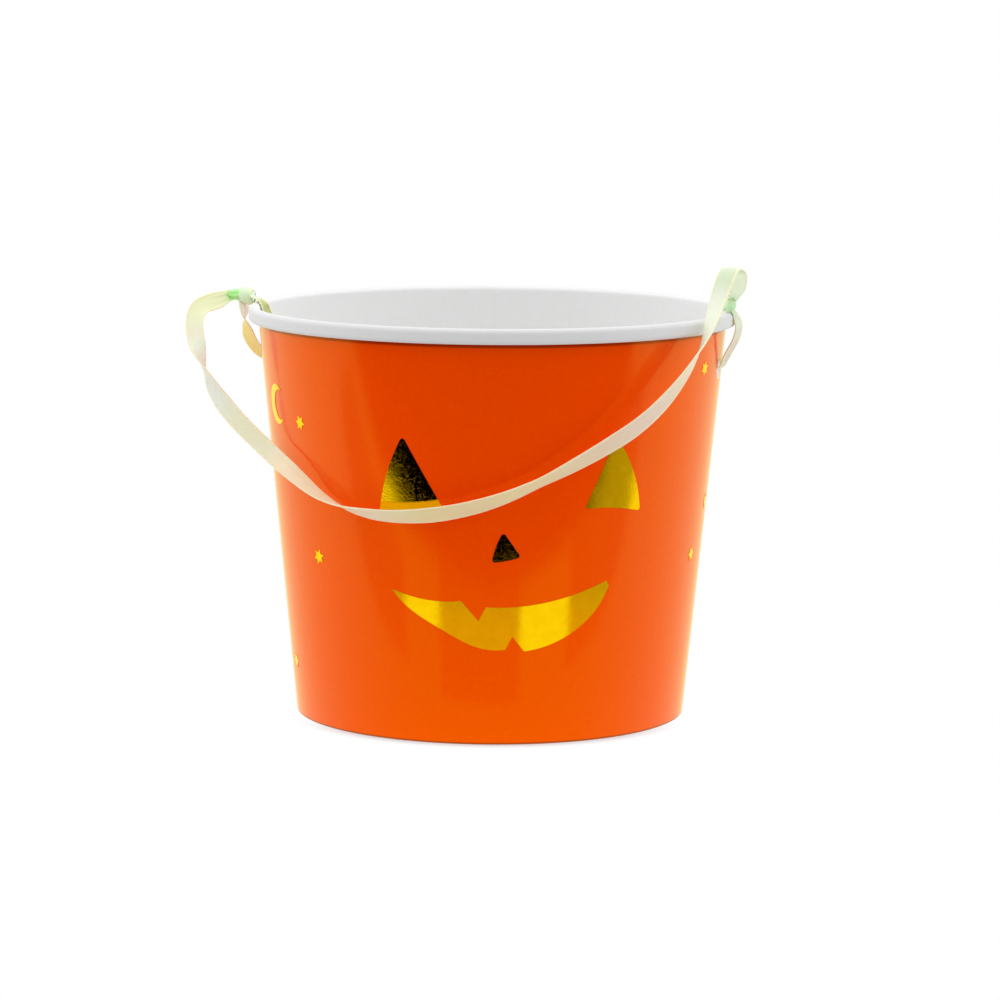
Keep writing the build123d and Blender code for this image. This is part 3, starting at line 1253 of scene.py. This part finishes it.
@dataclass
class Loop:
    """Ribbon loop from its knot over the rim, down inside, out of the hole and up again."""

    pail: PailSizes
    sizes: RibbonSizes
    place: LoopSizes
    steps: int = 10
    hole_squeeze: float = 0.06
    hole_band: float = 0.003
    cup: float = 0.0002
    hole_cup: float = 0.0006
    pleat_share: float = 0.7

    LEAD_SHARES = (0.4, 1.0, 0.8, 0.3)
    BELLY_SHARES = (0.2, 0.6)

    def route(self) -> list[Spot]:
        """Lay the loop's control points as radius, height and azimuth.

        Returns:
            Their places.
        """
        p, place = self.pail, self.place
        knot = p.rim_radius + place.knot_reach
        knot_z = p.hinge_z - place.knot_drop
        leg = knot - place.leg_start
        inside = p.rim_radius - p.roll_width - place.clearance
        at_hole = p.wall(p.hole_z)
        outside = p.rim_radius + place.loop_reach
        under = p.hole_z + p.hole_drop / 3
        tied = place.azimuth + place.knot_lead
        over, rim, within, down = (place.azimuth + share * place.rim_lead for share in self.LEAD_SHARES)
        low_z, high_z = (p.hole_z + share * p.hole_drop for share in self.BELLY_SHARES)
        section = [
            (leg, knot_z, tied),
            ((leg + inside) / 2, p.height + 6 * place.seat, over),
            (inside, p.height + 2 * place.seat, rim),
            (inside - place.clearance, p.height - p.hole_drop / 4, within),
            (p.wall(under) - p.board - 2 * place.clearance, under, down),
            (at_hole - p.board - place.clearance, p.hole_z, place.azimuth),
            (at_hole + place.hole_reach, p.hole_z + place.seat, place.azimuth),
            ((at_hole + outside) / 2 + place.belly, low_z, place.azimuth),
            (outside, high_z, place.azimuth),
            (outside, p.height - p.roll_width / 2, place.azimuth),
            (knot, knot_z, tied),
        ]
        return [(*(round_z(azimuth)[:2] * radius), z) for radius, z, azimuth in section]

    def dress(self) -> bpy.types.Object:
        """Build the loop and let it stand for its solid.

        Returns:
            The loop's object.
        """
        points = spline_points(self.route(), self.steps)
        along = lengths_along(points)
        share = along / along[-1]
        turns = np.radians(np.interp(share, *zip(*self.place.turns)))
        across, facing = carried(points, round_z(self.place.azimuth + 90.0), turns)
        at_rim = smooth_step(along, 0.0, self.place.rim_gather)
        at_end = smooth_step(along[-1] - along, 0.0, self.sizes.gather_length)
        spread = np.minimum(at_rim, at_end)
        rim_share, end_share = self.place.rim_share, self.place.end_share
        drawn = (rim_share + (1 - rim_share) * at_rim) * (end_share + (1 - end_share) * at_end)
        at_hole = np.exp(-(((points[:, 2] - self.pail.hole_z) / self.hole_band) ** 2))
        strip = Strip(
            name=self.place.side + "_loop_satin",
            sizes=self.sizes,
            points=points,
            across=across,
            facing=facing,
            width=self.sizes.width * drawn * (1 - self.hole_squeeze * at_hole),
            cup=self.cup + self.hole_cup * at_hole,
            pleat=self.pleat_share * self.sizes.pleat_depth * (1 - spread),
            dye_and_light=dye_and_light_along(share, self.place.dyes_and_light),
        )
        loop = strip.build()
        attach(loop, "pail")
        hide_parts(self.place.side + "_loop")
        return loop


@dataclass
class Knot:
    """Tight knot: a slanted band wound round the gathered ribbon."""

    pail: PailSizes
    sizes: RibbonSizes
    place: LoopSizes
    length: float
    radius: float
    tilt: float
    band_shift: float
    band_width: float
    start_turn: float
    end_shares: tuple[float, float]
    core_dyes: DyeAndLightMarks
    band_dyes: DyeAndLightMarks
    lean: float = 0.35
    lean_phase: float = 0.6
    turns: float = 1.7
    drift: float = 0.0006
    growth: float = 0.0002
    tuck_turns: float = 0.25
    tuck_depth: float = 0.0005
    tuck_share: float = 0.55
    band_cup: float = 0.0006
    band_ripple: float = 0.00012
    band_ripples: int = 3
    band_steps: int = 90
    core_share: float = 0.95
    core_pleats: int = 7
    core_pleat_share: float = 0.1
    core_pleat_twist: float = 2.2
    core_waist: float = 0.8
    core_rings: int = 25
    core_columns: int = 56
    core_widths: Band = (0.2, 0.8)

    def axes(self) -> tuple[np.ndarray, np.ndarray, np.ndarray, np.ndarray]:
        """Find how the knot lies.

        Returns:
            Its middle, its axis, and two directions square to the axis.
        """
        out, up = round_z(self.place.azimuth), np.array([0.0, 0.0, 1.0])
        middle = out * (self.pail.rim_radius + self.place.knot_reach)
        middle = middle + up * (self.pail.hinge_z - self.place.knot_drop)
        cosine, sine = math.cos(math.radians(self.tilt)), math.sin(math.radians(self.tilt))
        side = round_z(self.place.azimuth + 90.0)
        return middle, out * cosine + up * sine, side, up * cosine - out * sine

    def band(self) -> bpy.types.Object:
        """Wind the band, a strip on a slanted helix.

        Returns:
            The band's object.
        """
        middle, axis, side, up = self.axes()
        turn = np.linspace(0.0, self.turns, self.band_steps)
        angle = math.radians(self.start_turn) + 2 * math.pi * turn
        out = side[None, :] * np.cos(angle)[:, None] + up[None, :] * np.sin(angle)[:, None]
        radius = self.radius + self.growth * turn
        shift = self.band_shift + self.drift * (turn - self.turns / 2)
        shift = shift + self.lean * self.radius * np.sin(angle + self.lean_phase)
        points = middle + axis * shift[:, None] + out * radius[:, None]
        tangents = units(np.gradient(points, axis=0))
        across = units(np.cross(tangents, out))
        from_end = np.minimum(turn, self.turns - turn)
        taper = smooth_step(from_end, 0.0, self.tuck_turns)
        strip = Strip(
            name=self.place.side + "_knot_satin",
            sizes=self.sizes,
            points=points - out * (self.tuck_depth * (1 - taper))[:, None],
            across=across,
            facing=np.cross(across, tangents),
            width=self.band_width * (self.tuck_share + (1 - self.tuck_share) * taper),
            cup=np.full(len(turn), self.band_cup),
            pleat=self.band_ripple * np.sin(self.band_ripples * angle),
            dye_and_light=dye_and_light_along(turn / self.turns, self.band_dyes),
            finish=TiedSatin(),
        )
        return strip.build()

    def core(self) -> bpy.types.Object:
        """Gather the ribbon inside the band, pleated and drawn in at its ends.

        Returns:
            The gathered ribbon's object.
        """
        middle, axis, side, up = self.axes()
        share = np.linspace(-1.0, 1.0, self.core_rings)
        angle = np.linspace(0.0, 2 * math.pi, self.core_columns, endpoint=False)
        ends = np.where(share < 0, *self.end_shares)
        waist = np.clip(1 - share**2, 0.0, 1.0) ** self.core_waist
        swell = self.radius * (ends + (self.core_share - ends) * waist)
        phase = self.core_pleats * angle[None, :] + self.core_pleat_twist * share[:, None]
        reach = swell[:, None] * (1 + self.core_pleat_share * np.cos(phase))
        out = side[None, :] * np.cos(angle)[:, None] + up[None, :] * np.sin(angle)[:, None]
        spots = middle + axis * (self.length / 2 * share)[:, None, None] + out[None] * reach[:, :, None]
        name = self.place.side + "_knot_core"
        core = mesh_object(name, spots.reshape(-1, 3), tube_faces(*reach.shape), (TiedSatin(),), sharp=60.0)
        widths = np.linspace(*self.core_widths, self.core_columns, endpoint=False)
        paint_cloth(core, share * self.length, widths, dye_and_light_along(0.5 + share / 2, self.core_dyes))
        return core

    def dress(self) -> bpy.types.Object:
        """Build the knot and let it stand for its solid.

        Returns:
            The knot's object.
        """
        band, core = self.band(), self.core()
        with bpy.context.temp_override(active_object=band, selected_editable_objects=[band, core]):
            bpy.ops.object.join()
        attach(band, "pail")
        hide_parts(self.place.side + "_knot")
        return band


@dataclass(frozen=True)
class FoilAndBase:
    """The pieces whose solids are shown as they are: the foil leaves and the base."""

    foils: tuple[str, ...] = (
        "left_eye_foil",
        "right_eye_foil",
        "nose_foil",
        "mouth_foil",
        "star_foils",
        "moon_foils",
    )
    boards: tuple[str, ...] = ("base_disc",)

    def dress(self) -> list[bpy.types.Object]:
        """Give each solid its finish.

        Returns:
            The solids' objects.
        """
        shown = []
        for names, finish in ((self.foils, GoldFoil()), (self.boards, WhiteBoard())):
            for name in names:
                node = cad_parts[name]
                node.data.materials.clear()
                node.data.materials.append(finish.make())
                shown.append(node)
        return shown


@dataclass(frozen=True)
class PhotoCamera:
    """The camera, at the photograph's distance, height and angle."""

    distance: float = 1.38263
    height: float = 0.26402
    lens: float = 147.49
    sensor: float = 36.0
    yaw: float = 0.00214
    pitch: float = 0.13819
    roll: float = 0.0078

    def build(self) -> bpy.types.Object:
        """Make the camera and look through it.

        Returns:
            The camera's object.
        """
        data = bpy.data.cameras.new("photo_camera")
        data.lens = self.lens
        data.sensor_width = self.sensor
        data.dof.use_dof = False
        camera = bpy.data.objects.new("photo_camera", data)
        bpy.context.scene.collection.objects.link(camera)
        level = math.cos(self.pitch)
        ahead = Vector((math.sin(self.yaw) * level, math.cos(self.yaw) * level, -math.sin(self.pitch)))
        flat = Vector((math.cos(self.yaw), -math.sin(self.yaw), 0.0))
        rise = flat.cross(ahead)
        right = flat * math.cos(self.roll) + rise * math.sin(self.roll)
        up = rise * math.cos(self.roll) - flat * math.sin(self.roll)
        axes = Matrix((right, up, -ahead)).transposed()
        camera.matrix_world = Matrix.Translation((0.0, -self.distance, self.height)) @ axes.to_4x4()
        bpy.context.scene.camera = camera
        return camera


@dataclass(frozen=True)
class Studio:
    """White sweep, soft light from above and the sides, and the dark ground in front of it."""

    pail: PailSizes
    floor_reach: float = 4.0
    sky_light: float = 1.2
    side_light: float = 1.35
    front_light: float = 0.2
    ground_light: float = 0.6
    sky_band: Band = (0.15, 0.65)
    front_band: Band = (-0.95, -0.2)
    floor_colour: Colour = (0.78, 0.9, 0.96)
    shadow_share: float = 0.75
    shadow_reach: float = 0.007
    shadow_band: Band = (-0.055, -0.02)
    side_gloss: float = 1.2
    side_tint: Colour = (1.0, 0.97, 0.55)
    side_band: Band = (-0.12, 0.02)
    # Painted reflection of the orange pail in the stripes near it, painted shade further off.
    stripe_near: Colour = (0.74, 0.5, 0.3)
    stripe_far: Colour = (0.46, 0.42, 0.4)
    stripe_band: Band = (0.17, 0.24)
    lamp_place: Spot = (0.0, 0.1, 1.3)
    lamp_size: float = 0.9
    lamp_power: float = 1.5

    DARK_EDGE = (
        (-0.7, -0.212),
        (-0.25, -0.219),
        (-0.1, -0.221),
        (-0.04, -0.22),
        (-0.005, -0.213),
        (0.08, -0.213),
        (0.3, -0.211),
        (0.7, -0.21),
    )
    DARK_END = -1.2
    DARK_Z = 0.0012
    # Sheets of painted shade on the floor in front, seen only in reflections.
    STRIPES = (
        ((-0.117, -0.25), (0.063, -0.25), (0.019, -0.1), (-0.034, -0.1)),
        ((0.2065, -0.25), (0.5, -0.25), (0.5, -0.11), (0.0697, -0.11)),
        ((-0.5, -0.185), (-0.1636, -0.185), (-0.08, -0.11), (-0.5, -0.11)),
    )
    STRIPE_Z = 0.0008

    def world(self) -> None:
        """White for the camera; for the pail, bright above and beside it and dim low in front."""
        world = bpy.data.worlds.new("studio")
        bpy.context.scene.world = world
        world.use_nodes = True
        nodes = Nodes(world.node_tree)
        background = world.node_tree.nodes["Background"]
        way = nodes.node("SeparateXYZ", None, {0: nodes.node("TexCoord", output="Generated")})
        high = way.pick("Z").rise(*self.sky_band)
        ahead = 1 - way.pick("Y").rise(*self.front_band)
        low_front = ahead * (1 - high)
        level = self.side_light + high * (self.sky_light - self.side_light)
        level = level - low_front * (self.side_light - self.front_light)
        camera = nodes.node("LightPath", output="Is Camera Ray")
        nodes.feed(background.inputs["Color"], (1.0, 1.0, 1.0, 1.0))
        nodes.feed(background.inputs["Strength"], level + camera * (1 - level))

    def floor(self) -> bpy.types.Object:
        """White floor that keeps the shadow under the foot and shines brighter beside the pail.

        Returns:
            The floor's object.
        """
        material, nodes = new_material("stage_floor")
        spot = nodes.place()
        foot = self.pail.foot_diameter / 2
        near = 1 - nodes.distance(spot).rise(foot, foot + self.shadow_reach)
        depth = nodes.part(spot, "Y")
        near = near * (1 - depth.rise(*self.shadow_band))
        beside = depth.rise(*self.side_band)
        path = nodes.node("LightPath")
        seen = path.pick("Is Camera Ray") * (1 - self.shadow_share * near)
        glossy = path.pick("Is Glossy Ray")
        share = seen.greatest(glossy).greatest(path.pick("Is Diffuse Ray"))
        share = share.greatest(path.pick("Is Transmission Ray"))
        shine = glossy * beside * (self.side_gloss - 1)
        paper = nodes.node("BsdfDiffuse", None, {"Color": (*self.floor_colour, 1.0)})
        tint = nodes.mix(glossy * beside, (1.0, 1.0, 1.0), self.side_tint)
        white = nodes.node("Emission", None, {"Color": tint, "Strength": 1 + shine})
        nodes.show(nodes.node("MixShader", None, {0: share, 1: paper, 2: white}))
        reach = self.floor_reach
        corners = [(-reach, -reach), (reach, -reach), (reach, reach), (-reach, reach)]
        return self.sheet("stage_floor", corners, 0.0, material)

    def sheet(
        self, name: str, corners: Sequence[tuple[float, float]], z: float, material: bpy.types.Material
    ) -> bpy.types.Object:
        """Lay a flat sheet of the stage.

        Args:
            name: Name of the sheet.
            corners: Its corners on the floor, in order.
            z: Its height.
            material: Its material.

        Returns:
            The sheet's object.
        """
        mesh = bpy.data.meshes.new(name)
        mesh.from_pydata([(x, y, z) for x, y in corners], [], [tuple(range(len(corners)))])
        mesh.materials.append(material)
        made = bpy.data.objects.new(name, mesh)
        bpy.context.scene.collection.objects.link(made)
        return made

    def hidden_sheet(
        self, name: str, corners: Sequence[tuple[float, float]], z: float, material: bpy.types.Material
    ) -> bpy.types.Object:
        """Lay a sheet on the floor that only the pail sees, not the camera.

        Args:
            name: Name of the sheet.
            corners: Its corners on the floor, in order.
            z: Its height.
            material: Its material.

        Returns:
            The sheet's object.
        """
        made = self.sheet(name, corners, z, material)
        made.visible_camera = False
        made.visible_shadow = False
        made.visible_transmission = False
        return made

    def dark_ground(self) -> None:
        """Ground in front that is black in the foil, but gives the pail soft light."""
        material, nodes = new_material("stage_dark_ground")
        soft = nodes.node("LightPath", output="Is Diffuse Ray") * self.ground_light
        nodes.show(nodes.node("Emission", None, {"Color": (1.0, 1.0, 1.0, 1.0), "Strength": soft}))
        first, last = self.DARK_EDGE[0][0], self.DARK_EDGE[-1][0]
        corners = [(first, self.DARK_END), (last, self.DARK_END), *reversed(self.DARK_EDGE)]
        self.hidden_sheet("stage_dark_ground", corners, self.DARK_Z, material)

    def stripes(self) -> None:
        """Painted shade: dim stripes that the foil mirrors, standing in for the shadow on the floor in front
        of the pail, warm with painted reflection of the orange pail close to it.
        """
        material, nodes = new_material("stage_stripes")
        away = nodes.distance(nodes.place()).rise(*self.stripe_band)
        colour = nodes.mix(away, self.stripe_near, self.stripe_far)
        nodes.show(nodes.node("Emission", None, {"Color": colour}))
        for number, corners in enumerate(self.STRIPES, 1):
            made = self.hidden_sheet(f"stage_stripe_{number}", corners, self.STRIPE_Z, material)
            made.visible_diffuse = False

    def lamp(self) -> None:
        """Hang a soft square lamp that points at the pail's middle."""
        data = bpy.data.lights.new("overhead", "AREA")
        data.shape = "SQUARE"
        data.size = self.lamp_size
        data.energy = self.lamp_power
        lamp = bpy.data.objects.new("overhead", data)
        bpy.context.scene.collection.objects.link(lamp)
        lamp.location = self.lamp_place
        aim = Vector((0.0, 0.0, self.pail.height / 2)) - Vector(self.lamp_place)
        lamp.rotation_mode = "QUATERNION"
        lamp.rotation_quaternion = aim.to_track_quat("-Z", "Y")

    def build(self) -> None:
        """Set the stage and the view."""
        self.world()
        self.floor()
        self.dark_ground()
        self.stripes()
        self.lamp()
        bpy.context.scene.view_settings.view_transform = "Standard"


def loop_places(pail: PailSizes) -> tuple[LoopSizes, LoopSizes]:
    """Say where the loops lie, how they turn and what colours they take.

    Args:
        pail: Sizes of the pail.

    Returns:
        The left and the right loop's values.
    """
    left = LoopSizes(
        side="left",
        azimuth=pail.hole_azimuth - 180.0,
        knot_reach=0.0058,
        knot_drop=0.0010,
        knot_lead=0.0,
        leg_start=0.0035,
        loop_reach=0.0046,
        rim_lead=9.0,
        rim_gather=0.03,
        rim_share=0.4,
        end_share=0.62,
        hole_reach=0.0024,
        belly=0.0021,
        turns=(
            (0.0, -8.0),
            (0.1, -8.0),
            (0.2, -22.0),
            (0.28, -25.0),
            (0.4, 0.0),
            (0.58, 45.0),
            (0.65, 52.0),
            (0.74, 55.0),
            (0.79, 55.0),
            (0.835, 36.0),
            (0.866, 17.0),
            (0.895, -4.0),
            (0.94, -22.0),
            (1.0, -28.0),
        ),
        dyes_and_light=(
            (0.0, DyeAndPaintedLight.ICE),
            (0.08, DyeAndPaintedLight.ICE),
            # Painted shade: OLIVE darkens the stretch that runs over the rim and down inside the pail.
            (0.18, DyeAndPaintedLight.OLIVE),
            (0.3, DyeAndPaintedLight.OLIVE),
            (0.42, DyeAndPaintedLight.PALE),
            (0.56, DyeAndPaintedLight.PALE),
            # Painted reflection: AMBER is the orange light of the wall painted on the outer leg beside it.
            (0.62, DyeAndPaintedLight.AMBER),
            (0.86, DyeAndPaintedLight.AMBER),
            (0.872, DyeAndPaintedLight.FROST),
            (1.0, DyeAndPaintedLight.ICE),
        ),
    )
    right = LoopSizes(
        side="right",
        azimuth=pail.hole_azimuth,
        knot_reach=-0.0014,
        knot_drop=0.0002,
        knot_lead=-0.85,
        leg_start=0.0,
        loop_reach=0.0017,
        rim_lead=0.0,
        rim_gather=0.007,
        rim_share=0.22,
        end_share=0.22,
        hole_reach=0.0010,
        belly=-0.0010,
        turns=((0.0, 0.0), (0.5, 0.0), (0.6, -11.0), (1.0, -11.0)),
        dyes_and_light=(
            (0.0, DyeAndPaintedLight.MINT),
            (0.3, DyeAndPaintedLight.PALE),
            (0.6, DyeAndPaintedLight.ICE),
            (0.85, DyeAndPaintedLight.ICE),
            (1.0, DyeAndPaintedLight.MINT),
        ),
    )
    return left, right


def main() -> None:
    """Build and dress every piece, then the studio."""
    logging.basicConfig(level=logging.INFO, format="%(name)s: %(message)s")
    pail, ribbon = PailSizes(), RibbonSizes()
    left, right = loop_places(pail)
    loops = [Loop(pail, ribbon, place).dress() for place in (left, right)]
    left_knot = Knot(
        pail,
        ribbon,
        left,
        length=0.0092,
        radius=0.0020,
        tilt=4.0,
        band_shift=-0.0025,
        band_width=0.0038,
        start_turn=-70.0,
        end_shares=(0.82, 0.45),
        core_dyes=(
            (0.0, DyeAndPaintedLight.FROST),
            (0.45, DyeAndPaintedLight.MINT),
            (0.6, DyeAndPaintedLight.LIME),
            (0.9, DyeAndPaintedLight.LIME),
            (1.0, DyeAndPaintedLight.SPROUT),
        ),
        band_dyes=((0.0, DyeAndPaintedLight.ICE), (1.0, DyeAndPaintedLight.ICE)),
    )
    right_knot = Knot(
        pail,
        ribbon,
        right,
        length=0.0064,
        radius=0.0011,
        tilt=80.0,
        band_shift=0.0,
        band_width=0.0040,
        start_turn=110.0,
        end_shares=(0.6, 0.85),
        core_dyes=((0.0, DyeAndPaintedLight.MINT), (1.0, DyeAndPaintedLight.MINT)),
        band_dyes=((0.0, DyeAndPaintedLight.MINT), (1.0, DyeAndPaintedLight.MINT)),
    )
    knots = [left_knot.dress(), right_knot.dress()]
    pieces = [Sidewall(pail).dress(), *loops, *knots, *FoilAndBase().dress()]
    pieces.append(Handle(ribbon).dress(loops + knots))
    for piece in pieces:
        LOG.info("%s: %d faces", piece.name, len(piece.data.polygons))
    PhotoCamera().build()
    Studio(pail).build()


if __name__ == "__main__":
    main()
